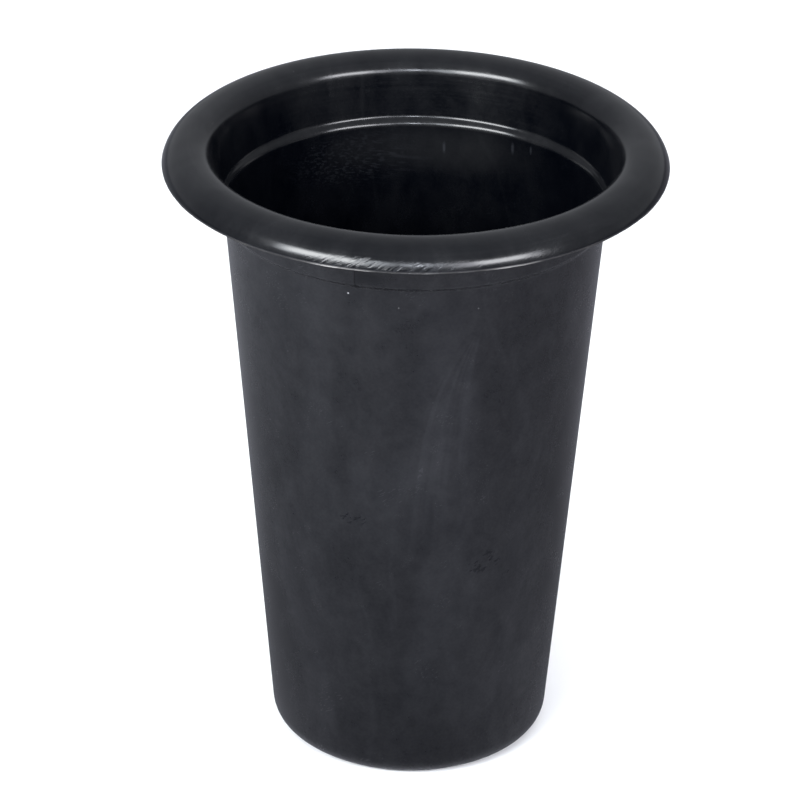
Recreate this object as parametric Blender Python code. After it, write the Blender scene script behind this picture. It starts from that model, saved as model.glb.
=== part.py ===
"""Florist bucket: one thin-walled plastic moulding, turned about +Z, standing on z = 0. Metres.

The wall runs from the recessed centre of the floor, round the foot, up the drafted body to a stacking
shoulder, through a wider collar, and over a broad domed rim that ends in a down-turned lip.
"""

from math import atan, cos, degrees, pi, radians, sin, tan

import bmesh
import bpy
from mathutils import Matrix, Vector

# Overall size
HEIGHT = 0.260
RIM_RADIUS = 0.100
TURN_STEPS = 60

# Body: its outer face is a cone, given by its radius where it would meet the base plane
BODY_BASE_RADIUS = 0.0554
BODY_SLOPE = 0.0864
BODY_WALL = 0.0010
FOOT_CORNER_RADIUS = 0.0103

# Floor: a flat foot ring, with the middle of the floor pressed up inside it
FLOOR_WALL = 0.0015
FOOT_RING_WIDTH = 0.0060
FLOOR_RISE = 0.0012

# Shoulder and collar, measured down from the crown of the rim
LEDGE_TOP_DEPTH = 0.0240
LEDGE_BOTTOM_DEPTH = 0.0261
SHOULDER_TOP_DEPTH = 0.0268
SHOULDER_BOTTOM_DEPTH = 0.0292
THROAT_RADIUS = 0.0766
COLLAR_RADIUS = 0.0784
SHOULDER_ROUND = 0.0009

# Rim: a dome arc, then a tighter arc that turns down into the throat
RIM_WALL = 0.0019
DOME_RADIUS = 0.0117
DOME_OUTER_ANGLE = 16.0
DOME_INNER_ANGLE = 107.0
THROAT_ARC_RADIUS = 0.0080
THROAT_ARC_ANGLE = 171.0
LIP_EDGE_RADIUS = 0.0009

BODY_ANGLE = degrees(atan(BODY_SLOPE))


def arc(centre, radius, start, end, steps):
    """Points of an arc in the (radius, height) plane. Angles are in degrees, 0 outward and 90 up."""
    turn = (end - start) / steps
    angles = [radians(start + turn * step) for step in range(steps + 1)]
    return [Vector((centre[0] + radius * cos(a), centre[1] + radius * sin(a))) for a in angles]


def rounded(corner, before, after, radius, steps=2):
    """The corner between two straight runs, replaced by an arc that is tangent to both."""
    towards = (before - corner).normalized()
    away = (after - corner).normalized()
    half = towards.angle(away) / 2
    start = corner + towards * radius / tan(half)
    end = corner + away * radius / tan(half)
    centre = corner + (towards + away).normalized() * radius / sin(half)
    spoke, last = start - centre, end - centre
    sweep = spoke.angle_signed(last)
    return [centre + Matrix.Rotation(-sweep * step / steps, 2) @ spoke for step in range(steps + 1)]


def body_radius(height, wall=0.0):
    """Radius of the body's outer cone at a height, or of the face one wall inside it."""
    return BODY_BASE_RADIUS + BODY_SLOPE * height - wall / cos(radians(BODY_ANGLE))


def foot_corner(floor_height, wall, radius):
    """The rounded corner between a level floor and the body's face, from the floor up."""
    height = floor_height + radius
    centre = (body_radius(height, wall) - radius / cos(radians(BODY_ANGLE)), height)
    return arc(centre, radius, -90.0, -BODY_ANGLE, 6)


def rim_centres():
    """Centres of the lip edge's arc, the dome's arc and the throat's arc, which run into each other smoothly."""
    outer = Vector((cos(radians(DOME_OUTER_ANGLE)), sin(radians(DOME_OUTER_ANGLE))))
    inner = Vector((cos(radians(DOME_INNER_ANGLE)), sin(radians(DOME_INNER_ANGLE))))
    edge_to_dome = outer * (DOME_RADIUS - LIP_EDGE_RADIUS)
    dome = Vector((RIM_RADIUS - LIP_EDGE_RADIUS - edge_to_dome.x, HEIGHT - DOME_RADIUS))
    return dome + edge_to_dome, dome, dome + inner * (DOME_RADIUS - THROAT_ARC_RADIUS)


def rim_arcs(depth):
    """The throat arc and the dome arc of the rim, a given depth below its outer skin, from the throat out."""
    _, dome_centre, throat_centre = rim_centres()
    throat = arc(throat_centre, THROAT_ARC_RADIUS - depth, THROAT_ARC_ANGLE, DOME_INNER_ANGLE, 5)
    crown = arc(dome_centre, DOME_RADIUS - depth, DOME_INNER_ANGLE, 90.0, 2)
    dome = arc(dome_centre, DOME_RADIUS - depth, 90.0, DOME_OUTER_ANGLE, 7)
    return throat, crown + dome[1:]


def inner_profile():
    """From the middle of the floor, up the inside of the body, over the ledge and into the throat."""
    corner = foot_corner(FLOOR_WALL, BODY_WALL, FOOT_CORNER_RADIUS - BODY_WALL)
    raised = FLOOR_WALL + FLOOR_RISE
    step_out = corner[0].x - FOOT_RING_WIDTH
    step_in = step_out - FLOOR_RISE
    ledge_bottom = Vector((0.0, HEIGHT - LEDGE_BOTTOM_DEPTH))
    ledge_bottom.x = body_radius(ledge_bottom.y, BODY_WALL)
    ledge_top = Vector((THROAT_RADIUS, HEIGHT - LEDGE_TOP_DEPTH))
    throat_end = rim_arcs(0.0)[0][0]
    points = [Vector((0.0, raised)), Vector((step_in, raised)), Vector((step_out, FLOOR_WALL))]
    points += corner
    points += rounded(ledge_bottom, corner[-1], ledge_top, SHOULDER_ROUND)
    points += rounded(ledge_top, ledge_bottom, throat_end, SHOULDER_ROUND)
    return points


def rim_profile():
    """Over the top of the rim, round the edge of its lip, and back along its underside."""
    throat, dome = rim_arcs(0.0)
    under_throat, under_dome = rim_arcs(RIM_WALL)
    edge_centre = rim_centres()[0]
    edge = arc(edge_centre, LIP_EDGE_RADIUS, DOME_OUTER_ANGLE, 0.0, 1)
    edge += arc(edge_centre, LIP_EDGE_RADIUS, 0.0, -90.0, 4)[1:]
    inner_edge = Vector((under_dome[-1].x, edge[-1].y))
    return throat + dome[1:] + edge[1:] + [inner_edge] + under_dome[::-1] + under_throat[-2::-1]


def outer_profile():
    """Down the collar and shoulder, down the body, round the foot and across the recessed underside."""
    shoulder_top = Vector((COLLAR_RADIUS, HEIGHT - SHOULDER_TOP_DEPTH))
    shoulder_bottom = Vector((0.0, HEIGHT - SHOULDER_BOTTOM_DEPTH))
    shoulder_bottom.x = body_radius(shoulder_bottom.y)
    corner = foot_corner(0.0, 0.0, FOOT_CORNER_RADIUS)
    collar_start = rim_arcs(RIM_WALL)[0][0]
    step_out = corner[0].x - FOOT_RING_WIDTH
    step_in = step_out - FLOOR_RISE
    points = rounded(shoulder_top, collar_start, shoulder_bottom, SHOULDER_ROUND)
    points += rounded(shoulder_bottom, shoulder_top, corner[-1], SHOULDER_ROUND)
    points += corner[::-1]
    points += [Vector((step_out, 0.0)), Vector((step_in, FLOOR_RISE)), Vector((0.0, FLOOR_RISE))]
    return points


def turned(name, profile, steps):
    """A closed solid made by turning a profile, which starts and ends on the axis, about +Z."""
    mesh = bpy.data.meshes.new(name)
    shape = bmesh.new()
    rings = [shape.verts.new((point.x, 0.0, point.y)) for point in profile]
    edges = [shape.edges.new(pair) for pair in zip(rings, rings[1:])]
    bmesh.ops.spin(shape, geom=rings + edges, cent=(0, 0, 0), axis=(0, 0, 1), angle=2 * pi, steps=steps)
    bmesh.ops.remove_doubles(shape, verts=shape.verts, dist=1e-6)
    bmesh.ops.recalc_face_normals(shape, faces=shape.faces)
    shape.to_mesh(mesh)
    shape.free()
    mesh.shade_smooth()
    mesh.set_sharp_from_angle(angle=radians(35))
    solid = bpy.data.objects.new(name, mesh)
    bpy.context.collection.objects.link(solid)
    return solid


def black_plastic():
    """Near-black injection-moulded polypropylene with a soft sheen."""
    material = bpy.data.materials.new("black_polypropylene")
    material.use_nodes = True
    shader = material.node_tree.nodes["Principled BSDF"]
    shader.inputs["Base Color"].default_value = (0.010, 0.011, 0.013, 1.0)
    shader.inputs["Roughness"].default_value = 0.32
    shader.inputs["Metallic"].default_value = 0.0
    return material


def main():
    for item in list(bpy.data.objects):
        bpy.data.objects.remove(item)
    profile = inner_profile() + rim_profile() + outer_profile()
    bucket = turned("bucket_moulding", profile, TURN_STEPS)
    bucket.data.materials.append(black_plastic())


main()
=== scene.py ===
"""Looks of the florist bucket: one turned polypropylene moulding on a pale studio floor.

The moulding is a single closed surface of revolution with the marks that its tool leaves: parting flash
along the lip, split lines on the collar, flow marks in the wall and a gate mark under the floor. Metres,
+Z up.
"""

import logging
from dataclasses import dataclass, field
from enum import Enum
from math import atan, cos, degrees, pi, radians, sin, sqrt

import bpy
import numpy as np
from mathutils import Matrix, Vector


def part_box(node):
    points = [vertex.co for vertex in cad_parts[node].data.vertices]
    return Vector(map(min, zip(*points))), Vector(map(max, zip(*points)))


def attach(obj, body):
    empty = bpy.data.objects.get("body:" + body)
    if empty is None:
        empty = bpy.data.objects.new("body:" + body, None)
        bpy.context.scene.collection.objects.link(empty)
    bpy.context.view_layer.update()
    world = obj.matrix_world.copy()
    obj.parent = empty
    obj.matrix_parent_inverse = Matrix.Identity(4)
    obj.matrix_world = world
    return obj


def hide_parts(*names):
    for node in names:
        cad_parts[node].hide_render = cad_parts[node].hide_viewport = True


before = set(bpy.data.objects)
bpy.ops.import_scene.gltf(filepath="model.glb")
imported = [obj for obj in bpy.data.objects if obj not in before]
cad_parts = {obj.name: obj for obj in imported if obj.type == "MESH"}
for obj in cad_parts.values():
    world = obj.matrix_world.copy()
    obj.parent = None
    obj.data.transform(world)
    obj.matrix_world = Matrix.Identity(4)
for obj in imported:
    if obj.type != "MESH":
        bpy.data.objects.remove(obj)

LOG = logging.getLogger("florist_bucket")
MOULDING_NODE = "bucket_moulding"
BODY = "root"

Socket = bpy.types.NodeSocket
Colour = tuple[float, float, float, float]
Place = tuple[float, float, float]


# ----------------------------------------------------------------------
# Outlines
# ----------------------------------------------------------------------


def arc(centre: np.ndarray, radius: float, start: float, end: float, count: int) -> np.ndarray:
    """Points of an arc in the (radius, height) plane: centre plus radius times (cos, sin) of an even sweep.

    Args:
        centre: The arc's centre, as (radius, height).
        radius: The arc's own radius.
        start: First angle in degrees, 0 outward and 90 up.
        end: Last angle in degrees.
        count: Number of points.

    Returns:
        An array of count rows, (radius, height).
    """
    sweep = np.radians(np.linspace(start, end, count))
    return np.asarray(centre) + radius * np.stack([np.cos(sweep), np.sin(sweep)], axis=1)


def straight(start: np.ndarray, end: np.ndarray, count: int) -> np.ndarray:
    """Evenly spaced points of a straight run, both ends included.

    Args:
        start: First point, as (radius, height).
        end: Last point.
        count: Number of points.

    Returns:
        An array of count rows, (radius, height).
    """
    share = np.linspace(0.0, 1.0, count)[:, None]
    return np.asarray(start) * (1.0 - share) + np.asarray(end) * share


def fillet(
    corner: np.ndarray, before: np.ndarray, after: np.ndarray, radius: float, count: int
) -> np.ndarray:
    """The corner between two straight runs, replaced by the arc that touches both.

    Args:
        corner: The sharp corner, as (radius, height).
        before: Any point on the run that comes in.
        after: Any point on the run that goes out.
        radius: Radius of the arc.
        count: Number of points.

    Returns:
        An array of count rows, (radius, height), from the incoming run to the outgoing one.
    """
    back = (before - corner) / np.linalg.norm(before - corner)
    ahead = (after - corner) / np.linalg.norm(after - corner)
    half = np.arccos(np.clip(back @ ahead, -1.0, 1.0)) / 2
    middle = (back + ahead) / np.linalg.norm(back + ahead)
    centre = corner + middle * radius / np.sin(half)
    first = corner + back * radius / np.tan(half) - centre
    last = corner + ahead * radius / np.tan(half) - centre
    start = np.arctan2(first[1], first[0])
    turn = np.arctan2(last[1], last[0]) - start
    turn = (turn + pi) % (2 * pi) - pi
    return arc(centre, radius, degrees(start), degrees(start + turn), count)


class Region(Enum):
    """Which finish a stretch of the moulding's skin takes."""

    INSIDE = 0
    RIM = 1
    OUTSIDE = 2
    UNDERSIDE = 3


@dataclass
class Outline:
    """A run of profile points, with the region of skin that starts at each one."""

    points: list[np.ndarray] = field(default_factory=list)
    regions: list[np.ndarray] = field(default_factory=list)

    def add(self, points: np.ndarray, region: Region) -> None:
        """Appends a stretch of points that belongs to one region."""
        self.points.append(points)
        self.regions.append(np.full(len(points), region.value))

    def joined(self) -> tuple[np.ndarray, np.ndarray]:
        """One array of points, with only the last of each set of doubles kept, and the region of each."""
        points, regions = np.concatenate(self.points), np.concatenate(self.regions)
        apart = np.linalg.norm(np.diff(points, axis=0), axis=1) > 1e-6
        keep = np.concatenate([apart, [True]])
        return points[keep], regions[keep]


# ----------------------------------------------------------------------
# Procedural texture groups
# ----------------------------------------------------------------------


class Texture(Enum):
    """The texture groups that the finishes share."""

    CLOUDS = "soft_clouds"
    WISPS = "flow_wisps"
    STROKES = "fine_strokes"
    SPECKS = "dust_specks"
    WINDOW = "local_window"
    FAN = "flow_fan"
    RINGS = "turned_rings"


@dataclass
class GroupBuilder:
    """Builds one shader node group, with named inputs and a Mask output."""

    name: str
    tree: bpy.types.NodeTree = field(init=False)
    start: bpy.types.Node = field(init=False)
    end: bpy.types.Node = field(init=False)

    def __post_init__(self) -> None:
        """Makes the empty group with its input and output nodes."""
        self.tree = bpy.data.node_groups.new(self.name, "ShaderNodeTree")
        self.start = self.tree.nodes.new("NodeGroupInput")
        self.end = self.tree.nodes.new("NodeGroupOutput")

    def vectors(self, *names: str) -> list[Socket]:
        """Adds vector inputs and gives the sockets to link from."""
        for name in names:
            self.tree.interface.new_socket(name, in_out="INPUT", socket_type="NodeSocketVector")
        return [self.start.outputs[name] for name in names]

    def numbers(self, **defaults: float) -> list[Socket]:
        """Adds number inputs with their defaults and gives the sockets to link from."""
        for name, value in defaults.items():
            socket = self.tree.interface.new_socket(name, in_out="INPUT", socket_type="NodeSocketFloat")
            socket.default_value = value
        return [self.start.outputs[name] for name in defaults]

    def put_out(self, source: Socket) -> None:
        """Adds the Mask output and links it."""
        self.tree.interface.new_socket("Mask", in_out="OUTPUT", socket_type="NodeSocketFloat")
        self.tree.links.new(source, self.end.inputs["Mask"])


@dataclass
class Wiring:
    """Short ways to place and link the shader nodes of one tree."""

    tree: bpy.types.NodeTree

    def node(self, kind: str, **settings: object) -> bpy.types.Node:
        """Places a node and sets its properties.

        Args:
            kind: The node's Blender type.
            **settings: Properties to set on it.

        Returns:
            The node.
        """
        made = self.tree.nodes.new(kind)
        for name, value in settings.items():
            setattr(made, name, value)
        return made

    def feed(self, socket: Socket, value: object) -> None:
        """Links a socket to another one, or sets its number, vector or colour."""
        if isinstance(value, Socket):
            self.tree.links.new(value, socket)
        else:
            socket.default_value = value

    def math(self, operation: str, *values: object) -> Socket:
        """The result of a Math node on numbers or sockets."""
        made = self.node("ShaderNodeMath", operation=operation)
        for socket, value in zip(made.inputs, values):
            self.feed(socket, value)
        return made.outputs[0]

    def vector(self, operation: str, *values: object) -> Socket:
        """The result of a Vector Math node: a number for LENGTH, and a vector otherwise."""
        made = self.node("ShaderNodeVectorMath", operation=operation)
        for socket, value in zip(made.inputs, values):
            self.feed(socket, value)
        return made.outputs["Value" if operation == "LENGTH" else "Vector"]

    def split(self, vector: object) -> list[Socket]:
        """The X, Y and Z of a vector."""
        made = self.node("ShaderNodeSeparateXYZ")
        self.feed(made.inputs[0], vector)
        return list(made.outputs)

    def joined(self, x: object, y: object, z: object) -> Socket:
        """A vector from three numbers or sockets."""
        made = self.node("ShaderNodeCombineXYZ")
        for socket, value in zip(made.inputs, (x, y, z)):
            self.feed(socket, value)
        return made.outputs[0]

    def ramp(
        self, value: object, low: object, high: object, to_low: object = 0.0, to_high: object = 1.0
    ) -> Socket:
        """A smooth step of a value, from to_low at low to to_high at high."""
        made = self.node("ShaderNodeMapRange", interpolation_type="SMOOTHSTEP")
        names = ("Value", "From Min", "From Max", "To Min", "To Max")
        for name, number in zip(names, (value, low, high, to_low, to_high)):
            self.feed(made.inputs[name], number)
        return made.outputs[0]

    def turned(
        self, vector: object, turn: Place = (0.0, 0.0, 0.0), scale: Place = (1.0, 1.0, 1.0)
    ) -> Socket:
        """Coordinates scaled and then turned, in degrees about each axis, by a Mapping node."""
        made = self.node("ShaderNodeMapping")
        self.feed(made.inputs["Vector"], vector)
        made.inputs["Scale"].default_value = scale
        made.inputs["Rotation"].default_value = tuple(radians(angle) for angle in turn)
        return made.outputs[0]

    def noise(
        self, vector: object, scale: object, detail: float = 2.0, distortion: float = 0.0
    ) -> Socket:
        """The value of a Noise texture, from 0 to 1."""
        made = self.node("ShaderNodeTexNoise")
        self.feed(made.inputs["Vector"], vector)
        self.feed(made.inputs["Scale"], scale)
        made.inputs["Detail"].default_value = detail
        made.inputs["Distortion"].default_value = distortion
        return made.outputs[0]

    def mix_colour(self, share: object, first: object, second: object) -> Socket:
        """A colour between two others."""
        made = self.node("ShaderNodeMix", data_type="RGBA")
        self.feed(made.inputs["Factor"], share)
        self.feed(made.inputs[6], first)
        self.feed(made.inputs[7], second)
        return made.outputs[2]

    def place(self, texture: Texture, **values: object) -> Socket:
        """Places a shared texture group with its own values and gives its mask."""
        made = self.node("ShaderNodeGroup")
        made.node_tree = bpy.data.node_groups[texture.value]
        for name, value in values.items():
            self.feed(made.inputs[name], value)
        return made.outputs["Mask"]

    def chained(self, operation: str, terms: tuple) -> Socket:
        """One Math operation over several numbers or sockets, from the left."""
        result = terms[0]
        for term in terms[1:]:
            result = self.math(operation, result, term)
        return result

    def total(self, *terms: object) -> Socket:
        """The sum of several numbers or sockets."""
        return self.chained("ADD", terms)

    def product(self, *terms: object) -> Socket:
        """The product of several numbers or sockets."""
        return self.chained("MULTIPLY", terms)

    def most(self, *terms: object) -> Socket:
        """The largest of several numbers or sockets."""
        return self.chained("MAXIMUM", terms)

    def less(self, first: object, second: object) -> Socket:
        """The first number or socket less the second."""
        return self.math("SUBTRACT", first, second)

    def ratio(self, first: object, second: object) -> Socket:
        """The first number or socket divided by the second."""
        return self.math("DIVIDE", first, second)


class TextureLibrary:
    """Builds every shared texture group once."""

    def build(self) -> None:
        """Makes the groups that Texture names."""
        makers = (self.clouds, self.wisps, self.strokes, self.specks, self.window, self.fan, self.rings)
        for make in makers:
            make()

    def clouds(self) -> None:
        """Soft patches: distorted noise, stepped smoothly between Low and High."""
        group = GroupBuilder(Texture.CLOUDS.value)
        (place,) = group.vectors("Vector")
        scale, low, high = group.numbers(Scale=10.0, Low=0.4, High=0.7)
        wires = Wiring(group.tree)
        group.put_out(wires.ramp(wires.noise(place, scale, detail=4.0, distortion=0.8), low, high))

    def wisps(self) -> None:
        """Thin curling filaments: 1 where distorted noise crosses its middle value, 0 beyond Width."""
        group = GroupBuilder(Texture.WISPS.value)
        (place,) = group.vectors("Vector")
        scale, width = group.numbers(Scale=10.0, Width=0.05)
        wires = Wiring(group.tree)
        value = wires.noise(place, scale, detail=2.5, distortion=1.6)
        off = wires.math("ABSOLUTE", wires.less(value, 0.5))
        group.put_out(wires.ramp(off, 0.0, width, 1.0, 0.0))

    def strokes(self) -> None:
        """Fine strokes along X, Length long and Thin times narrower, in patches that hold a share Cover."""
        group = GroupBuilder(Texture.STROKES.value)
        (place,) = group.vectors("Vector")
        length, thin, cover = group.numbers(Length=0.01, Thin=20.0, Cover=0.5)
        wires = Wiring(group.tree)
        scaled = wires.vector("DIVIDE", place, wires.joined(length, length, length))
        squeezed = wires.vector("MULTIPLY", scaled, wires.joined(1.0, thin, thin))
        thinnest = wires.less(0.60, wires.product(cover, 0.10))
        value = wires.noise(squeezed, 1.0, detail=1.5, distortion=0.15)
        lines = wires.ramp(value, thinnest, wires.total(thinnest, 0.13))
        least = wires.less(0.72, wires.product(cover, 0.4))
        cut = wires.ramp(wires.noise(scaled, 0.8, detail=1.0), least, wires.total(least, 0.12))
        group.put_out(wires.product(lines, cut))

    def specks(self) -> None:
        """Round specks: a disc round some of a Voronoi texture's points, each of its own size."""
        group = GroupBuilder(Texture.SPECKS.value)
        (place,) = group.vectors("Vector")
        scale, size, share = group.numbers(Scale=200.0, Size=0.12, Share=0.1)
        wires = Wiring(group.tree)
        cells = wires.node("ShaderNodeTexVoronoi")
        wires.feed(cells.inputs["Vector"], place)
        wires.feed(cells.inputs["Scale"], scale)
        pick = wires.split(cells.outputs["Color"])
        reach = wires.product(size, wires.total(wires.math("POWER", pick[1], 2.0), 0.35))
        disc = wires.ramp(wires.less(reach, cells.outputs["Distance"]), 0.0, 0.03)
        group.put_out(wires.product(disc, wires.math("LESS_THAN", pick[0], share)))

    def window(self) -> None:
        """A soft ellipsoid: 1 at Centre, falling to 0 where the offset divided by Reach is one long."""
        group = GroupBuilder(Texture.WINDOW.value)
        place, centre, reach = group.vectors("Vector", "Centre", "Reach")
        (hard,) = group.numbers(Hard=0.0)
        wires = Wiring(group.tree)
        offset = wires.vector("DIVIDE", wires.vector("SUBTRACT", place, centre), reach)
        group.put_out(wires.ramp(wires.vector("LENGTH", offset), hard, 1.0, 1.0, 0.0))

    def fan(self) -> None:
        """Streaks that leave Tip down to one side and turn straight down.

        A streak of offset u runs at x = u (1 - exp(-s / Bend)), s below the tip, with u from Near to
        Far, and noise of u gives its brightness.
        """
        group = GroupBuilder(Texture.FAN.value)
        place, tip = group.vectors("Vector", "Tip")
        near, far, bend, reach, width = group.numbers(
            Near=-0.007, Far=-0.033, Bend=0.035, Reach=0.13, Width=0.0032
        )
        wires = Wiring(group.tree)
        x, y, z = wires.split(wires.vector("SUBTRACT", place, tip))
        below = wires.math("MAXIMUM", wires.product(z, -1.0), 0.0001)
        decay = wires.math("EXPONENT", wires.ratio(wires.product(below, -1.0), bend))
        streak = wires.ratio(x, wires.less(1.0, decay))
        along = wires.product(below, 14.0)
        pattern = wires.noise(wires.joined(wires.ratio(streak, width), along, 0.0), 0.7, detail=2.5)
        middle = wires.product(wires.total(near, far), 0.5)
        half = wires.math("ABSOLUTE", wires.less(near, middle))
        off = wires.ratio(wires.math("ABSOLUTE", wires.less(streak, middle)), half)
        sides = wires.ramp(off, 0.75, 1.15, 1.0, 0.0)
        start = wires.ramp(below, 0.002, 0.012)
        fading = wires.ramp(wires.ratio(below, reach), 0.45, 1.0, 1.0, 0.0)
        front = wires.ramp(y, -0.02, 0.03, 1.0, 0.0)
        inside = wires.product(sides, start, fading, front)
        group.put_out(wires.product(wires.ramp(pattern, 0.40, 0.62), inside))

    def rings(self) -> None:
        """Fine lines round the axis: noise of radius and height, broken up slowly along the turn."""
        group = GroupBuilder(Texture.RINGS.value)
        (place,) = group.vectors("Vector")
        (scale,) = group.numbers(Scale=900.0)
        wires = Wiring(group.tree)
        x, y, z = wires.split(place)
        radius = wires.vector("LENGTH", wires.joined(x, y, 0.0))
        slow = wires.joined(wires.product(x, 0.02), wires.product(y, 0.02), 0.0)
        along = wires.vector("ADD", wires.joined(radius, z, 0.0), slow)
        group.put_out(wires.noise(along, scale, detail=2.0))


# ----------------------------------------------------------------------
# Finishes
# ----------------------------------------------------------------------

@dataclass(frozen=True)
class Patch:
    """Where a local mark sits on the skin: an ellipsoid round a point, in metres."""

    centre: Place
    reach: Place
    hard: float = 0.0

    def mask(self, wires: Wiring, place: Socket) -> Socket:
        """The patch as a mask."""
        values = {"Centre": self.centre, "Reach": self.reach, "Hard": self.hard}
        return wires.place(Texture.WINDOW, Vector=place, **values)


@dataclass(frozen=True)
class PlasticFinish:
    """Black polypropylene skin: a near-black body with a tight gloss, under a broad soft sheen.

    Flow marks, grain, scuffs and dust change its colour, roughness, sheen and relief. Colours are linear
    and heights are in metres.
    """

    name: str
    colour: Colour = (0.0009, 0.0012, 0.0021, 1.0)
    haze_colour: Colour = (0.0090, 0.0100, 0.0125, 1.0)
    dust_colour: Colour = (0.35, 0.35, 0.36, 1.0)
    # Colour of the pale flash: real wear, and painted highlights where the front softboxes mirror in the
    # flash.
    worn_and_glint_colour: Colour = (0.215, 0.208, 0.200, 1.0)
    gloss_level: float = 0.25
    gloss_roughness: float = 0.18
    sheen: float = 0.45
    sheen_roughness: float = 0.45
    haze: float = 0.35
    mottle: float = 0.30
    flow_stretch: Place = (1.0, 1.0, 0.4)
    dust_share: float = 0.05
    ripple: float = 0.000030
    grain: float = 0.0000015
    turned: float = 0.0

    def build(self) -> bpy.types.Material:
        """Makes the material, with its constants on the shader's own sockets."""
        material = bpy.data.materials.new(self.name)
        material.use_nodes = True
        wires = Wiring(material.node_tree)
        shader = material.node_tree.nodes["Principled BSDF"]
        place = wires.node("ShaderNodeTexCoord").outputs["Object"]
        worn_and_glint = wires.node("ShaderNodeAttribute", attribute_name="worn_and_glint").outputs["Fac"]
        flow = self.flow(wires, place)
        mottle = self.mottling(wires, place)
        scuff = self.scuffs(wires, place)
        dust = self.dust(wires, place)
        haze = wires.most(wires.product(flow, self.haze), scuff)
        skin = wires.mix_colour(haze, self.colour, self.haze_colour)
        # The pale flash: real wear, with painted highlights where the front softboxes mirror in it.
        skin = wires.mix_colour(worn_and_glint, skin, self.worn_and_glint_colour)
        wires.feed(shader.inputs["Base Color"], wires.mix_colour(dust, skin, self.dust_colour))
        rough = wires.total(
            self.gloss_roughness,
            wires.product(mottle, 0.06),
            wires.product(flow, 0.03),
            wires.product(wires.most(scuff, worn_and_glint), 0.20),
            wires.product(dust, 0.40),
        )
        wires.feed(shader.inputs["Roughness"], rough)
        wires.feed(shader.inputs["Coat Weight"], self.sheen_weight(wires, place, flow, mottle))
        wires.feed(shader.inputs["Normal"], self.relief(wires, place, scuff, dust))
        shader.inputs["Specular IOR Level"].default_value = self.gloss_level
        shader.inputs["Coat Roughness"].default_value = self.sheen_roughness
        return material

    def flow(self, wires: Wiring, place: Socket) -> Socket:
        """Flow marks of the melt: soft clouds and curling wisps, drawn out along the body."""
        drawn = wires.turned(place, scale=self.flow_stretch)
        clouds = wires.place(Texture.CLOUDS, Vector=drawn, Scale=26.0, Low=0.36, High=0.70)
        wisps = wires.place(Texture.WISPS, Vector=drawn, Scale=19.0, Width=0.06)
        return wires.total(wires.product(clouds, 0.6), wires.product(wisps, 0.2))

    def mottling(self, wires: Wiring, place: Socket) -> Socket:
        """Uneven gloss about zero: patches of a centimetre, of a few millimetres and of a millimetre."""
        drawn = wires.turned(place, scale=(1.0, 1.0, 0.8))
        patches = wires.noise(drawn, 75.0, detail=2.0, distortion=0.6)
        spots = wires.noise(drawn, 230.0, detail=2.0)
        grains = wires.noise(place, 900.0, detail=1.0)
        mixed = wires.total(patches, wires.product(spots, 0.55), wires.product(grains, 0.55))
        return wires.less(mixed, 1.05)

    def scuffs(self, wires: Wiring, place: Socket) -> Socket:
        """Sparse fine strokes in two slanting directions."""
        rising = wires.turned(place, (0.0, 35.0, 20.0))
        falling = wires.turned(place, (20.0, -40.0, 70.0))
        one = wires.place(Texture.STROKES, Vector=rising, Length=0.012, Thin=26.0, Cover=0.35)
        two = wires.place(Texture.STROKES, Vector=falling, Length=0.009, Thin=22.0, Cover=0.30)
        return wires.product(wires.most(one, two), 0.30)

    def dust(self, wires: Wiring, place: Socket) -> Socket:
        """Dust specks in two sizes."""
        fine = wires.place(Texture.SPECKS, Vector=place, Scale=260.0, Size=0.07, Share=self.dust_share)
        fewer = self.dust_share * 0.8
        coarse = wires.place(Texture.SPECKS, Vector=place, Scale=95.0, Size=0.035, Share=fewer)
        return wires.product(wires.most(fine, coarse), 0.15)

    def sheen_weight(self, wires: Wiring, place: Socket, flow: Socket, mottle: Socket) -> Socket:
        """The sheen: stronger in the flow marks, uneven with the mottling, and taken out in the split
        lines' grooves as painted shade.
        """
        value = wires.total(
            self.sheen,
            wires.product(flow, 0.20),
            wires.product(mottle, self.mottle * 2.0),
        )
        if self.turned:
            lines = wires.place(Texture.RINGS, Vector=place, Scale=700.0)
            value = wires.total(value, wires.product(wires.less(lines, 0.5), self.turned))
        # Painted shade: the sheen is taken out along the split-line grooves to darken them.
        cut = wires.node("ShaderNodeAttribute", attribute_name="cut").outputs["Fac"]
        kept = wires.less(1.0, cut)
        return wires.product(wires.math("MAXIMUM", value, 0.0), kept)

    def relief(self, wires: Wiring, place: Socket, scuff: Socket, dust: Socket) -> Socket:
        """The bumped normal: a soft ripple, two grains, cut scuffs and raised dust, at true height."""
        height = wires.total(
            wires.product(wires.noise(place, 60.0, detail=1.0), self.ripple),
            wires.product(wires.noise(place, 650.0, detail=2.0), self.grain * 2.5),
            wires.product(wires.noise(place, 2600.0, detail=1.0), self.grain),
            wires.product(scuff, -0.000012),
            wires.product(dust, 0.000100),
            self.local_relief(wires, place),
        )
        bump = wires.node("ShaderNodeBump")
        bump.inputs["Distance"].default_value = 1.0
        wires.feed(bump.inputs["Height"], height)
        return bump.outputs["Normal"]

    def local_relief(self, wires: Wiring, place: Socket) -> object:
        """Height of marks that belong to this skin alone: none by default."""
        return 0.0


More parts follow.
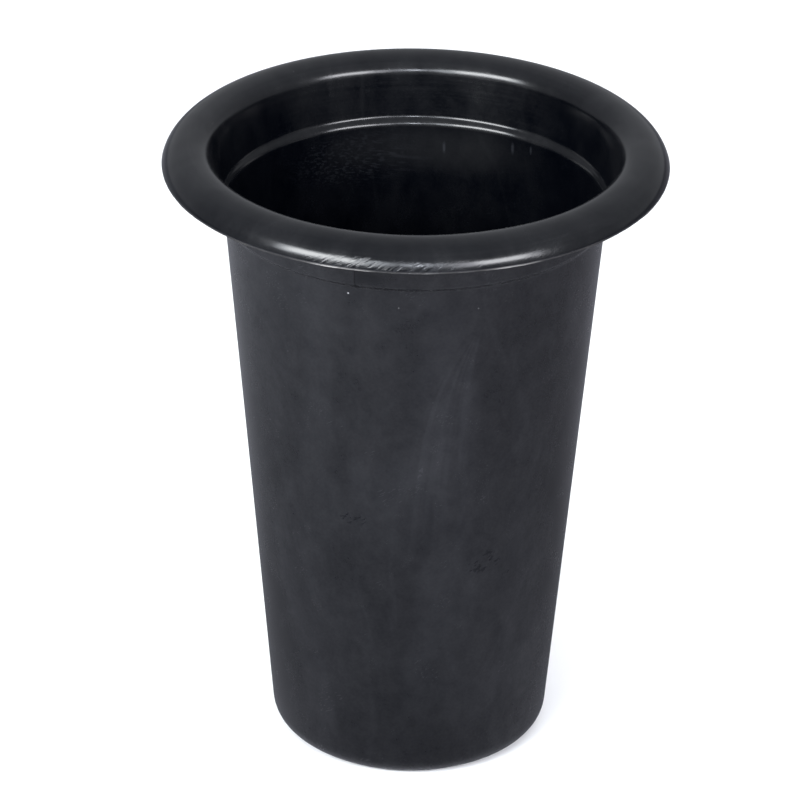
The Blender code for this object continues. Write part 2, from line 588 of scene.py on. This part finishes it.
@dataclass(frozen=True)
class RimFinish(PlasticFinish):
    """The rim's glossier skin, with turned lines and scraped patches along the front edge."""

    scrapes: tuple[tuple[Patch, float], ...] = (
        (Patch((-0.0150, -0.0965, 0.2519), (0.0310, 0.0250, 0.0040), 0.65), 1.0),
        (Patch((0.0160, -0.0980, 0.2522), (0.0140, 0.0200, 0.0038), 0.5), 0.50),
        (Patch((0.0500, -0.0860, 0.2540), (0.0140, 0.0200, 0.0034), 0.4), 0.40),
    )

    def scraped(self, wires: Wiring, place: Socket) -> Socket:
        """Slanting strokes, thin ones over broad ones, inside the scraped patches."""
        slant = wires.turned(place, (0.0, 36.0, 0.0), (1.0, 0.15, 1.0))
        broad = wires.place(Texture.STROKES, Vector=slant, Length=0.0080, Thin=5.0, Cover=1.0)
        thin = wires.place(Texture.STROKES, Vector=slant, Length=0.0060, Thin=15.0, Cover=1.0)
        strokes = wires.most(broad, wires.product(thin, 0.5))
        patches = (wires.product(patch.mask(wires, place), share) for patch, share in self.scrapes)
        where = wires.most(*patches)
        return wires.product(strokes, where)

    def scuffs(self, wires: Wiring, place: Socket) -> Socket:
        """The sparse strokes of every skin, and the scrapes."""
        pale = wires.product(self.scraped(wires, place), 0.6)
        return wires.most(super().scuffs(wires, place), pale)

    def local_relief(self, wires: Wiring, place: Socket) -> Socket:
        """The scrapes' depth, and the turned lines."""
        cuts = wires.product(self.scraped(wires, place), -0.000045)
        lines = wires.place(Texture.RINGS, Vector=place, Scale=700.0)
        return wires.total(cuts, wires.product(lines, 0.000004))


@dataclass(frozen=True)
class OutsideFinish(PlasticFinish):
    """The body's satin skin, with a fan of flow streaks down its front, dark nicks and a few specks."""

    fan_tip: Place = (0.0272, -0.0700, 0.2150)
    nicks: tuple[Patch, ...] = (
        Patch((-0.0225, -0.0620, 0.1242), (0.0075, 0.0200, 0.0035), 0.3),
        Patch((0.0285, -0.0575, 0.1030), (0.0105, 0.0200, 0.0070), 0.3),
        Patch((0.0376, -0.0512, 0.0955), (0.0025, 0.0200, 0.0025), 0.2),
    )
    dark_streak: Patch = Patch((0.0074, -0.0660, 0.1250), (0.0022, 0.0200, 0.0220))
    flecks: tuple[tuple[Patch, float], ...] = (
        (Patch((-0.0252, -0.0707, 0.2276), (0.00042, 0.0100, 0.00042), 0.4), 1.0),
        (Patch((-0.0058, -0.0745, 0.2233), (0.00036, 0.0100, 0.00036), 0.3), 0.30),
        (Patch((0.0248, -0.0703, 0.2216), (0.00036, 0.0100, 0.00036), 0.3), 0.30),
    )
    # Painted shade: less sheen on the collar just under the lip, right of the split line, where the lip's
    # shadow falls.
    lip_shade: Patch = Patch((-0.0200, -0.0770, 0.2372), (0.0160, 0.0200, 0.0050), 0.2)

    def flow(self, wires: Wiring, place: Socket) -> Socket:
        """The common flow marks, and the fan."""
        fan = wires.place(Texture.FAN, Vector=place, Tip=self.fan_tip)
        return wires.total(super().flow(wires, place), wires.product(fan, 0.9))

    def dust(self, wires: Wiring, place: Socket) -> Socket:
        """The common dust, and single flecks on the front."""
        flecks = (wires.product(fleck.mask(wires, place), share) for fleck, share in self.flecks)
        return wires.most(super().dust(wires, place), *flecks)

    def sheen_weight(self, wires: Wiring, place: Socket, flow: Socket, mottle: Socket) -> Socket:
        """The common sheen, lost in the nicks, weaker in one streak, and weaker under the lip right of the
        split line as painted shade.
        """
        slant = wires.turned(place, (0.0, 32.0, 0.0))
        strokes = wires.place(Texture.STROKES, Vector=slant, Length=0.0045, Thin=4.0, Cover=1.0)
        random = wires.place(Texture.STROKES, Vector=slant, Length=0.0050, Thin=6.0, Cover=0.18)
        here = wires.most(*(nick.mask(wires, place) for nick in self.nicks))
        strokes = wires.most(wires.product(strokes, here), wires.product(random, 0.4))
        nicked = wires.ramp(strokes, 0.1, 0.6)
        right = wires.ramp(wires.split(place)[0], -0.0230, -0.0224)
        lip_shade = wires.product(self.lip_shade.mask(wires, place), right, 0.9)
        streak = wires.product(self.dark_streak.mask(wires, place), 0.28)
        kept = wires.less(1.0, wires.most(nicked, lip_shade, streak))
        return wires.product(super().sheen_weight(wires, place, flow, mottle), kept)


@dataclass(frozen=True)
class InsideFinish(PlasticFinish):
    """The inner skin, with wiped marks high on the far wall, three short drip marks, and painted light
    under the ledge on the far wall.
    """

    # Painted light: a patch of extra sheen high on the far inside wall, where the softboxes' light reaches.
    painted_far_wall_light: Patch = Patch((0.0080, 0.0720, 0.2240), (0.0600, 0.0500, 0.0145), 0.1)
    wiped: Patch = Patch((-0.0240, 0.0670, 0.2210), (0.0380, 0.0500, 0.0150), 0.3)
    drips: tuple[Patch, ...] = (
        Patch((0.0115, 0.0729, 0.2240), (0.0009, 0.0200, 0.0036), 0.3),
        Patch((0.0393, 0.0640, 0.2285), (0.0009, 0.0200, 0.0034), 0.3),
        Patch((0.0466, 0.0590, 0.2300), (0.0006, 0.0200, 0.0024), 0.3),
    )

    def sheen_weight(self, wires: Wiring, place: Socket, flow: Socket, mottle: Socket) -> Socket:
        """The common sheen, and more sheen under the ledge on the far wall: painted light where the
        softboxes shine in.
        """
        painted_far_wall_light = wires.product(self.painted_far_wall_light.mask(wires, place), 0.36)
        return wires.total(super().sheen_weight(wires, place, flow, mottle), painted_far_wall_light)

    def scuffs(self, wires: Wiring, place: Socket) -> Socket:
        """Sparse strokes, the wiped marks and the drips."""
        level = wires.turned(place, (0.0, -6.0, 0.0))
        strokes = wires.place(Texture.STROKES, Vector=level, Length=0.045, Thin=55.0, Cover=1.0)
        wiped = wires.product(strokes, self.wiped.mask(wires, place), 0.40)
        masks = (drip.mask(wires, place) for drip in self.drips)
        drips = wires.product(wires.most(*masks), 0.8)
        return wires.most(super().scuffs(wires, place), wiped, drips)


DEEP_BLACK: Colour = (0.0003, 0.0006, 0.0015, 1.0)
RIM_FINISH = RimFinish(
    name="rim_gloss",
    colour=DEEP_BLACK,
    gloss_level=0.345,
    gloss_roughness=0.165,
    sheen=0.05,
    haze=0.12,
    mottle=0.10,
    turned=0.20,
)
OUTSIDE_FINISH = OutsideFinish(
    name="outside_satin", gloss_level=0.24, gloss_roughness=0.22, sheen=0.26, mottle=0.24
)
INSIDE_FINISH = InsideFinish(
    name="inside_satin",
    colour=DEEP_BLACK,
    gloss_level=0.28,
    gloss_roughness=0.12,
    sheen=0.07,
    haze=0.08,
    mottle=0.12,
)
UNDERSIDE_FINISH = PlasticFinish(
    name="underside_matt",
    gloss_level=0.15,
    gloss_roughness=0.40,
    sheen=0.30,
    sheen_roughness=0.6,
    dust_share=0.12,
)


@dataclass(frozen=True)
class FloorFinish:
    """Pale matt studio floor: white to the eye, and a cooler, dimmer painted reflection where the skin
    mirrors it, lighter on the left than the right as painted light and darker round the base and behind as
    painted shade.
    """

    name: str = "pale_floor"
    seen: Colour = (0.93, 0.93, 0.93, 1.0)
    # Painted reflection: the floor as the skin mirrors it, lighter on the left than on the right as painted
    # light.
    mirrored_left: Colour = (0.445, 0.45, 0.485, 1.0)
    mirrored_right: Colour = (0.345, 0.34, 0.375, 1.0)
    # Painted shade in the mirrored floor: darker close round the base and towards the back.
    shade_near_base: float = 0.22
    shade_behind: float = 0.44
    roughness: float = 0.9

    def build(self) -> bpy.types.Material:
        """Makes the floor's material."""
        material = bpy.data.materials.new(self.name)
        material.use_nodes = True
        wires = Wiring(material.node_tree)
        shader = material.node_tree.nodes["Principled BSDF"]
        direct = wires.node("ShaderNodeLightPath").outputs["Is Camera Ray"]
        place = wires.node("ShaderNodeTexCoord").outputs["Object"]
        across = wires.ramp(wires.split(place)[0], -0.6, 0.6)
        far = wires.vector("LENGTH", place)
        back = wires.ratio(wires.split(place)[1], far)
        # Painted shade: the mirrored floor darkens towards the back and close round the base.
        behind = wires.ramp(back, -0.9, 0.55, 0.0, self.shade_behind)
        painted_shade = wires.total(wires.ramp(far, 0.05, 0.50, self.shade_near_base, 0.0), behind)
        mirrored = wires.mix_colour(across, self.mirrored_left, self.mirrored_right)
        mirrored = wires.mix_colour(painted_shade, mirrored, (0.0, 0.0, 0.0, 1.0))
        wires.feed(shader.inputs["Base Color"], wires.mix_colour(direct, mirrored, self.seen))
        shader.inputs["Roughness"].default_value = self.roughness
        shader.inputs["Specular IOR Level"].default_value = 0.0
        return material


# ----------------------------------------------------------------------
# The moulding
# ----------------------------------------------------------------------


@dataclass
class TurnedSurface:
    """A closed grid of points: each profile point swept round the axis, with a pole at each end."""

    points: np.ndarray
    regions: np.ndarray
    azimuths: np.ndarray

    def tangents(self) -> np.ndarray:
        """Unit direction along the profile at each point, from its neighbours."""
        ahead = np.gradient(self.points, axis=0)
        return ahead / np.linalg.norm(ahead, axis=1, keepdims=True)

    def mesh(self, name: str, lift: np.ndarray, sway: np.ndarray) -> bpy.types.Mesh:
        """Builds the mesh: (radius sin a, -radius cos a, height), moved along its outward normal by lift.

        The profile runs from the axis up the inside, over the rim and down the outside, so its outward
        normal in the (radius, height) plane is the tangent turned a quarter to the left.

        Args:
            name: The mesh's name.
            lift: Distance to move each point outward, one row for each profile point between the poles.
            sway: Distance to move each point away from the axis, in the same rows.

        Returns:
            The closed mesh, its faces pointing out.
        """
        tangent = self.tangents()[1:-1]
        normal = np.stack([-tangent[:, 1], tangent[:, 0]], axis=1)
        radius = self.points[1:-1, 0, None] + normal[:, 0, None] * lift + sway
        height = self.points[1:-1, 1, None] + normal[:, 1, None] * lift
        across, towards = radius * np.sin(self.azimuths), -radius * np.cos(self.azimuths)
        spread = np.stack([across, towards, height], axis=2)
        poles = np.array([[0.0, 0.0, self.points[0, 1]], [0.0, 0.0, self.points[-1, 1]]])
        rows, columns = radius.shape
        corners = np.concatenate([spread.reshape(-1, 3), poles])
        index = np.arange(rows * columns).reshape(rows, columns)
        beside = np.roll(index, -1, axis=1)
        quads = np.stack([index[:-1], beside[:-1], beside[1:], index[1:]], axis=2).reshape(-1, 4)
        first, last = np.full(columns, rows * columns), np.full(columns, rows * columns + 1)
        first_cap = np.stack([first, beside[0], index[0]], axis=1)
        last_cap = np.stack([last, index[-1], beside[-1]], axis=1)
        caps = np.concatenate([first_cap, last_cap])
        quad_regions = np.repeat(self.regions[1:-2], columns)
        cap_regions = np.repeat([self.regions[0], self.regions[-1]], columns)
        return self.filled(name, corners, quads, caps, np.concatenate([quad_regions, cap_regions]))

    @staticmethod
    def filled(
        name: str, corners: np.ndarray, quads: np.ndarray, caps: np.ndarray, regions: np.ndarray
    ) -> bpy.types.Mesh:
        """Puts whole arrays of corners and faces into a new smooth mesh."""
        mesh = bpy.data.meshes.new(name)
        loops = np.concatenate([quads.ravel(), caps.ravel()]).astype(np.int32)
        quad_starts = np.arange(len(quads)) * 4
        cap_starts = quads.size + np.arange(len(caps)) * 3
        starts = np.concatenate([quad_starts, cap_starts]).astype(np.int32)
        mesh.vertices.add(len(corners))
        mesh.vertices.foreach_set("co", corners.astype(np.float32).ravel())
        mesh.loops.add(len(loops))
        mesh.loops.foreach_set("vertex_index", loops)
        mesh.polygons.add(len(starts))
        mesh.polygons.foreach_set("loop_start", starts)
        mesh.polygons.foreach_set("material_index", regions.astype(np.int32))
        mesh.update(calc_edges=True)
        mesh.validate()
        mesh.shade_smooth()
        return mesh


@dataclass
class BucketMoulding:
    """The whole bucket: floor, drafted body, stacking shoulder, collar and domed rim, in one skin.

    Lengths are in metres and depths are measured down from the crown of the rim.
    """

    rim_radius: float
    height: float
    base_radius: float = 0.0554
    draft: float = 0.0864
    body_wall: float = 0.0010
    foot_corner: float = 0.0103
    floor_wall: float = 0.0015
    foot_ring: float = 0.0060
    floor_rise: float = 0.0012
    ledge_top: float = 0.0240
    ledge_bottom: float = 0.0261
    shoulder_top: float = 0.0268
    shoulder_bottom: float = 0.0292
    throat_radius: float = 0.0766
    collar_radius: float = 0.0784
    ledge_rounds: tuple[float, float] = (0.0035, 0.0044)
    shoulder_round: float = 0.0030
    rim_wall: float = 0.0019
    dome_radius: float = 0.0117
    dome_outer_angle: float = 16.0
    dome_inner_angle: float = 107.0
    throat_arc_radius: float = 0.0080
    throat_arc_angle: float = 171.0
    lip_edge_radius: float = 0.0009
    split_azimuths: tuple[float, float] = (-16.7, 163.3)
    split_width: float = 0.00035
    split_depth: float = 0.00025
    flash_angle: float = -45.0
    flash_height: float = 0.00033
    flash_rise: float = 0.00010
    flash_fall: float = 0.00028
    pale_band_angle: float = -6.0
    # Bright spots along the flash, as (azimuth, width, strength): the front ones are painted highlights
    # where the softboxes mirror in it.
    painted_flash_glints: tuple[tuple[float, float, float], ...] = (
        (-17.5, 6.0, 0.75),
        (-11.0, 1.6, 0.35),
        (20.5, 4.4, 0.66),
        (27.0, 1.2, 0.40),
        (118.0, 9.0, 0.50),
        (-142.0, 12.0, 0.40),
    )
    rubbed_elsewhere: float = 0.16
    oval: float = 0.00028
    dents: float = 0.00005
    columns: int = 360

    def wall_radius(self, height: float, wall: float = 0.0) -> float:
        """Radius of the body's cone at a height, or of the face one wall inside it."""
        return self.base_radius + self.draft * height - wall * sqrt(1.0 + self.draft**2)

    def corner_centre(self, floor: float, wall: float, radius: float) -> np.ndarray:
        """Centre of the rounded corner between a level floor and the body's face."""
        height = floor + radius
        return np.array([self.wall_radius(height, wall) - radius * sqrt(1.0 + self.draft**2), height])

    def rim_centres(self) -> tuple[np.ndarray, np.ndarray, np.ndarray]:
        """Centres of the arcs of the lip edge, the dome and the throat, which run into each other."""
        outer, inner = (
            np.array([cos(radians(angle)), sin(radians(angle))])
            for angle in (self.dome_outer_angle, self.dome_inner_angle)
        )
        to_edge = outer * (self.dome_radius - self.lip_edge_radius)
        dome_radius = self.rim_radius - self.lip_edge_radius - to_edge[0]
        dome = np.array([dome_radius, self.height - self.dome_radius])
        return dome + to_edge, dome, dome + inner * (self.dome_radius - self.throat_arc_radius)

    def inside(self, outline: Outline) -> None:
        """From the middle of the floor, over its raised step and up the wall, to the ledge and throat."""
        radius = self.foot_corner - self.body_wall
        centre = self.corner_centre(self.floor_wall, self.body_wall, radius)
        raised = self.floor_wall + self.floor_rise
        step_out = np.array([centre[0] - self.foot_ring, self.floor_wall])
        step_in = np.array([step_out[0] - self.floor_rise, raised])
        low = np.array([0.0, self.height - self.ledge_bottom])
        low[0] = self.wall_radius(low[1], self.body_wall)
        high = np.array([self.throat_radius, self.height - self.ledge_top])
        corner = arc(centre, radius, -90.0, -degrees(atan(self.draft)), 10)
        _, _, throat_centre = self.rim_centres()
        throat_end = arc(throat_centre, self.throat_arc_radius, self.throat_arc_angle, 170.0, 2)[0]
        lower = fillet(low, corner[-1], high, self.ledge_rounds[1], 12)
        upper = fillet(high, low, throat_end, self.ledge_rounds[0], 11)
        floor_in = fillet(step_in, np.array([0.0, raised]), step_out, 0.0008, 4)
        floor_out = fillet(step_out, step_in, centre - [0.0, radius], 0.0008, 4)
        outline.add(straight(np.array([0.0, raised]), floor_in[0], 7), Region.INSIDE)
        outline.add(np.concatenate([floor_in, floor_out, corner]), Region.INSIDE)
        outline.add(straight(corner[-1], lower[0], 22), Region.INSIDE)
        outline.add(np.concatenate([lower, upper]), Region.INSIDE)
        outline.add(straight(upper[-1], throat_end, 6), Region.RIM)

    def rim(self, outline: Outline) -> None:
        """Over the throat arc and the dome, round the lip's edge, and back along the rim's underside."""
        edge_centre, dome_centre, throat_centre = self.rim_centres()
        outer, inner = self.dome_outer_angle, self.dome_inner_angle
        spans = ((outer, -38.0, 8), (-38.0, -84.0, 34), (-84.0, -90.0, 3))
        edge = np.concatenate([arc(edge_centre, self.lip_edge_radius, *span) for span in spans])
        under_dome = arc(dome_centre, self.dome_radius - self.rim_wall, outer, inner, 14)
        inner_edge = np.array([under_dome[0, 0], edge[-1, 1]])
        throat = arc(throat_centre, self.throat_arc_radius, self.throat_arc_angle, inner, 14)
        outline.add(throat, Region.RIM)
        outline.add(arc(dome_centre, self.dome_radius, inner, 90.0, 5), Region.RIM)
        outline.add(arc(dome_centre, self.dome_radius, 90.0, outer, 20), Region.RIM)
        outline.add(edge, Region.RIM)
        outline.add(fillet(inner_edge, edge[-1], under_dome[0], 0.0002, 3), Region.OUTSIDE)
        outline.add(under_dome, Region.OUTSIDE)
        under_throat = self.throat_arc_radius - self.rim_wall
        outline.add(arc(throat_centre, under_throat, inner, self.throat_arc_angle, 8), Region.OUTSIDE)

    def outside(self, outline: Outline) -> None:
        """Down the collar and the shoulder, down the body and round the foot's corner."""
        top = np.array([self.collar_radius, self.height - self.shoulder_top])
        bottom = np.array([0.0, self.height - self.shoulder_bottom])
        bottom[0] = self.wall_radius(bottom[1])
        centre = self.corner_centre(0.0, 0.0, self.foot_corner)
        corner = arc(centre, self.foot_corner, -degrees(atan(self.draft)), -90.0, 12)
        _, _, throat_centre = self.rim_centres()
        under_throat = self.throat_arc_radius - self.rim_wall
        start = arc(throat_centre, under_throat, self.throat_arc_angle, 170.0, 2)[0]
        upper = fillet(top, start, bottom, self.shoulder_round, 8)
        lower = fillet(bottom, top, corner[0], self.shoulder_round, 8)
        outline.add(straight(start, upper[0], 7), Region.OUTSIDE)
        outline.add(np.concatenate([upper, lower]), Region.OUTSIDE)
        outline.add(straight(lower[-1], corner[0], 26), Region.OUTSIDE)
        outline.add(corner, Region.OUTSIDE)

    def underside(self, outline: Outline) -> None:
        """Across the foot ring, up its inner step, and over the recessed floor to the gate mark."""
        centre = self.corner_centre(0.0, 0.0, self.foot_corner)
        step_out = np.array([centre[0] - self.foot_ring, 0.0])
        step_in = np.array([step_out[0] - self.floor_rise, self.floor_rise])
        middle = np.array([0.0, self.floor_rise])
        outline.add(straight(centre - [0.0, centre[1]], step_out + [0.0009, 0.0], 4), Region.UNDERSIDE)
        outline.add(fillet(step_out, centre - [0.0, centre[1]], step_in, 0.0008, 4), Region.UNDERSIDE)
        outline.add(fillet(step_in, step_out, middle, 0.0008, 4), Region.UNDERSIDE)
        outline.add(straight(step_in - [0.0008, 0.0], middle + [0.0045, 0.0], 7), Region.UNDERSIDE)
        dish = arc(middle + [0.0038, 0.0008], 0.0008, -90.0, -150.0, 4)
        nub = arc(middle, 0.0012, 0.0, -90.0, 6) + [0.0, 0.0006]
        outline.add(np.concatenate([dish, nub]), Region.UNDERSIDE)

    def outline(self) -> Outline:
        """The whole profile, from the middle of the floor inside to the middle of the floor outside."""
        made = Outline()
        for run in (self.inside, self.rim, self.outside, self.underside):
            run(made)
        return made

    def column_angles(self) -> np.ndarray:
        """Azimuths of the grid's columns, in radians: even ones, and a close set at each split line."""
        even = np.linspace(-pi, pi, self.columns, endpoint=False)
        offsets = np.array([-6.0, -3.5, -2.2, -1.5, -1.0, -0.5, 0.0, 0.5, 1.0, 1.5, 2.2, 3.5, 6.0])
        close = offsets * self.split_width / self.collar_radius
        splits = [(radians(azimuth) + pi) % (2 * pi) - pi for azimuth in self.split_azimuths]
        for split in splits:
            even = even[np.abs(even - split) > close[-1] * 1.3]
        return np.sort(np.concatenate([even] + [split + close for split in splits]))

    def sway(self, radius: np.ndarray, height: np.ndarray, angles: np.ndarray) -> np.ndarray:
        """How far the wall bows out of round: an oval body, wider from side to side, and shallow dents."""
        along = height / self.height
        body = 1.0 - self.eased((radius - 0.083) / 0.008)
        oval = -self.oval * np.cos(2 * angles) * body
        waves = np.sin(5 * angles - 3.0 * along + 1.3) * np.sin(2.6 * along + 0.4)
        return (oval + self.dents * (waves - 1.0)) * self.eased(radius / 0.06)

    def grooves(
        self, points: np.ndarray, angles: np.ndarray, outer: np.ndarray
    ) -> tuple[np.ndarray, np.ndarray]:
        """The mould's split lines down the collar: a groove with a thin raised edge beside it.

        Args:
            points: Profile points between the poles, as (radius, height).
            angles: Azimuths of the columns, in radians.
            outer: Which of the points are on the outside.

        Returns:
            The outward distance, and the share of groove at each grid point, which darkens the groove as
            painted shade.
        """
        radius, depth = points[:, :1], self.height - points[:, 1:]
        on_collar = outer[:, None] & (depth > 0.009) & (depth < self.shoulder_bottom + 0.0003)
        on_collar &= radius < self.collar_radius + 0.004
        lift = np.zeros((len(points), len(angles)))
        cut = np.zeros_like(lift)
        for azimuth in self.split_azimuths:
            offset = (angles - radians(azimuth) + pi) % (2 * pi) - pi
            across = offset * radius / self.split_width
            groove = np.where(on_collar, np.exp(-(across**2)), 0.0)
            ridge = np.where(on_collar, np.exp(-((across + 1.6) ** 2)), 0.0)
            lift += self.split_depth * (0.4 * ridge - groove)
            cut = np.maximum(cut, groove)
        return lift, cut

    def flash(self, points: np.ndarray, angles: np.ndarray) -> tuple[np.ndarray, np.ndarray]:
        """The lip's parting flash: a small step out that wanders round the rim and ends under the lip.

        Args:
            points: Profile points between the poles, as (radius, height).
            angles: Azimuths of the columns, in radians.

        Returns:
            The outward distance, and the share of pale flash at each grid point: real wear, with painted
            highlights where the front softboxes mirror in it.
        """
        spoke = points - self.rim_centres()[0]
        turn = np.degrees(np.arctan2(spoke[:, 1], spoke[:, 0]))[:, None]
        near_edge = np.abs(np.linalg.norm(spoke, axis=1) - self.lip_edge_radius)[:, None] < 1e-5
        beyond = np.radians(self.flash_angle - turn) * self.lip_edge_radius
        step = self.eased(beyond / self.flash_rise)
        away = self.eased((beyond - 1.6 * self.flash_rise) / self.flash_fall)
        slow = 0.14 * np.sin(17 * angles + 1.0) + 0.12 * np.sin(41 * angles) * np.sin(7 * angles + 0.5)
        wander = 0.74 + slow + 0.10 * np.sin(113 * angles + 2.0) * np.sin(29 * angles)
        wear_and_glint = self.rubbed_elsewhere * wander
        for azimuth, width, strength in self.painted_flash_glints:
            offset = (np.degrees(angles) - azimuth + 180.0) % 360.0 - 180.0
            wear_and_glint = wear_and_glint + strength * wander * np.exp(-((offset / width) ** 2))
        onset = self.eased((self.pale_band_angle - turn) / 12.0)
        lift = self.flash_height * step * (1.0 - away) * wander
        worn_and_glint = onset * (1.0 - away) * np.clip(wear_and_glint, 0.0, 1.0)
        return np.where(near_edge, lift, 0.0), np.where(near_edge, worn_and_glint, 0.0)

    @staticmethod
    def eased(share: np.ndarray) -> np.ndarray:
        """A share held between 0 and 1 and eased at both ends: 3 s^2 - 2 s^3."""
        share = np.clip(share, 0.0, 1.0)
        return share**2 * (3.0 - 2.0 * share)

    def build(self) -> bpy.types.Object:
        """Makes the moulding's mesh, dresses it and puts it in the scene."""
        points, regions = self.outline().joined()
        angles = self.column_angles()
        surface = TurnedSurface(points, regions, angles)
        ring = points[1:-1]
        # The groove share darkens the split lines as painted shade.
        groove, cut = self.grooves(ring, angles, regions[1:-1] == Region.OUTSIDE.value)
        # The flash share holds real wear and painted highlights.
        flash, worn_and_glint = self.flash(ring, angles)
        mesh = surface.mesh("bucket_skin", groove + flash, self.sway(ring[:, :1], ring[:, 1:], angles))
        for name, share in (("cut", cut), ("worn_and_glint", worn_and_glint)):
            values = np.concatenate([share.ravel(), [0.0, 0.0]]).astype(np.float32)
            mesh.attributes.new(name, "FLOAT", "POINT").data.foreach_set("value", values)
        piece = bpy.data.objects.new("bucket_skin", mesh)
        bpy.context.scene.collection.objects.link(piece)
        self.dress(piece)
        return piece

    def dress(self, piece: bpy.types.Object) -> None:
        """Gives each region of the skin its finish, in the order of Region."""
        for finish in (INSIDE_FINISH, RIM_FINISH, OUTSIDE_FINISH, UNDERSIDE_FINISH):
            piece.data.materials.append(finish.build())


# ----------------------------------------------------------------------
# Studio
# ----------------------------------------------------------------------


@dataclass(frozen=True)
class Softbox:
    """A rectangular studio light, aimed at the rim from a direction round the bucket."""

    name: str
    azimuth: float
    elevation: float
    distance: float
    width: float
    height: float
    power: float
    colour: tuple[float, float, float] = (0.93, 0.98, 1.08)
    mirrored: bool = True

    def place(self, target: Vector) -> bpy.types.Object:
        """Puts the light in the scene.

        Args:
            target: The point that it faces.

        Returns:
            The light.
        """
        data = bpy.data.lights.new(self.name, "AREA")
        data.shape = "RECTANGLE"
        data.size, data.size_y = self.width, self.height
        data.energy = self.power
        data.color = self.colour
        light = bpy.data.objects.new(self.name, data)
        turn, rise = radians(self.azimuth), radians(self.elevation)
        away = Vector((sin(turn) * cos(rise), -cos(turn) * cos(rise), sin(rise)))
        facing = away.to_track_quat("Z", "Y").to_matrix().to_4x4()
        light.matrix_world = Matrix.Translation(target + away * self.distance) @ facing
        light.visible_camera = False
        light.visible_glossy = self.mirrored
        bpy.context.scene.collection.objects.link(light)
        return light


@dataclass
class Studio:
    """The pale floor, the softboxes in front, the dim room round them and the camera."""

    rim_centre: Vector
    base_centre: Vector
    softboxes: tuple[Softbox, ...] = (
        Softbox("softbox_left", -38.0, 26.0, 1.30, 1.10, 0.46, 14.3, (0.93, 0.99, 1.06)),
        Softbox("softbox_left_core", -41.0, 26.5, 1.30, 0.74, 0.30, 12.4, (1.0, 1.0, 0.99)),
        Softbox("softbox_right", 36.0, 23.0, 1.30, 0.90, 0.34, 8.6, (0.96, 0.97, 1.06)),
        Softbox("softbox_right_core", 39.0, 23.5, 1.30, 0.50, 0.24, 4.8, (1.0, 1.0, 1.0)),
        Softbox("strip_middle", -1.0, 25.5, 1.30, 0.62, 0.20, 2.4),
        Softbox("strip_middle_core", 1.5, 25.5, 1.30, 0.14, 0.12, 1.6),
        Softbox("overhead_fill", 0.0, 89.9, 1.50, 2.40, 2.40, 20.0, (1.0, 1.0, 1.0), False),
    )
    floor_half: float = 6.0
    room_level: float = 0.43
    room_top: float = 0.66
    room_front: float = 0.08
    camera_azimuth: float = -0.1744
    camera_elevation: float = 27.534
    camera_distance: float = 1.9399
    camera_roll: float = 0.659
    camera_lens: float = 216.33
    aim: tuple[float, float, float] = (-0.00512, 0.0, 0.14507)

    def build(self) -> None:
        """Makes everything round the bucket."""
        self.lay_floor()
        for softbox in self.softboxes:
            softbox.place(self.rim_centre)
        self.light_room()
        self.set_camera()
        bpy.context.scene.view_settings.view_transform = "Standard"

    def lay_floor(self) -> None:
        """A level square that the foot stands on."""
        corners = self.floor_half * np.array([[-1.0, -1, 0], [1, -1, 0], [1, 1, 0], [-1, 1, 0]])
        mesh = bpy.data.meshes.new("studio_floor")
        mesh.from_pydata((corners + np.array(self.base_centre)).tolist(), [], [(0, 1, 2, 3)])
        mesh.materials.append(FloorFinish().build())
        floor = bpy.data.objects.new("studio_floor", mesh)
        bpy.context.scene.collection.objects.link(floor)

    def light_room(self) -> None:
        """A soft room light that is brighter in front and overhead than behind."""
        world = bpy.data.worlds.new("studio_room")
        world.use_nodes = True
        wires = Wiring(world.node_tree)
        background = world.node_tree.nodes["Background"]
        _, back, up = wires.split(wires.node("ShaderNodeTexCoord").outputs["Generated"])
        front = wires.ramp(back, -0.6, 0.7, self.room_front, 0.0)
        level = wires.total(wires.ramp(up, 0.2, 0.95, self.room_level, self.room_top), front)
        background.inputs["Color"].default_value = (0.96, 0.99, 1.06, 1.0)
        wires.feed(background.inputs["Strength"], level)
        bpy.context.scene.world = world

    def set_camera(self) -> None:
        """A long lens that looks down on the bucket from the front, turned a little about its own axis."""
        data = bpy.data.cameras.new("camera")
        data.lens, data.sensor_width = self.camera_lens, 36.0
        data.clip_start, data.clip_end = 0.05, 50.0
        camera = bpy.data.objects.new("camera", data)
        turn, rise = radians(self.camera_azimuth), radians(self.camera_elevation)
        away = Vector((-sin(turn) * cos(rise), -cos(turn) * cos(rise), sin(rise)))
        level = away.to_track_quat("Z", "Y").to_matrix().to_4x4()
        place = Matrix.Translation(Vector(self.aim) + away * self.camera_distance)
        camera.matrix_world = place @ level @ Matrix.Rotation(radians(self.camera_roll), 4, "Z")
        bpy.context.scene.collection.objects.link(camera)
        bpy.context.scene.camera = camera


def main() -> None:
    """Builds the bucket and its studio, and reports each piece."""
    logging.basicConfig(level=logging.INFO, format="%(name)s: %(message)s")
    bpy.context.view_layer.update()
    low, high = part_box(MOULDING_NODE)
    TextureLibrary().build()
    moulding = BucketMoulding(rim_radius=(high.x - low.x) / 2, height=high.z - low.z)
    piece = moulding.build()
    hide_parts(MOULDING_NODE)
    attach(piece, BODY)
    LOG.info("%s: %d faces", piece.name, len(piece.data.polygons))
    centre = (low + high) / 2
    rim_centre = Vector((centre.x, centre.y, high.z))
    studio = Studio(rim_centre=rim_centre, base_centre=Vector((centre.x, centre.y, low.z)))
    studio.build()
    LOG.info("studio with %d softboxes", len(studio.softboxes))


if __name__ == "__main__":
    main()
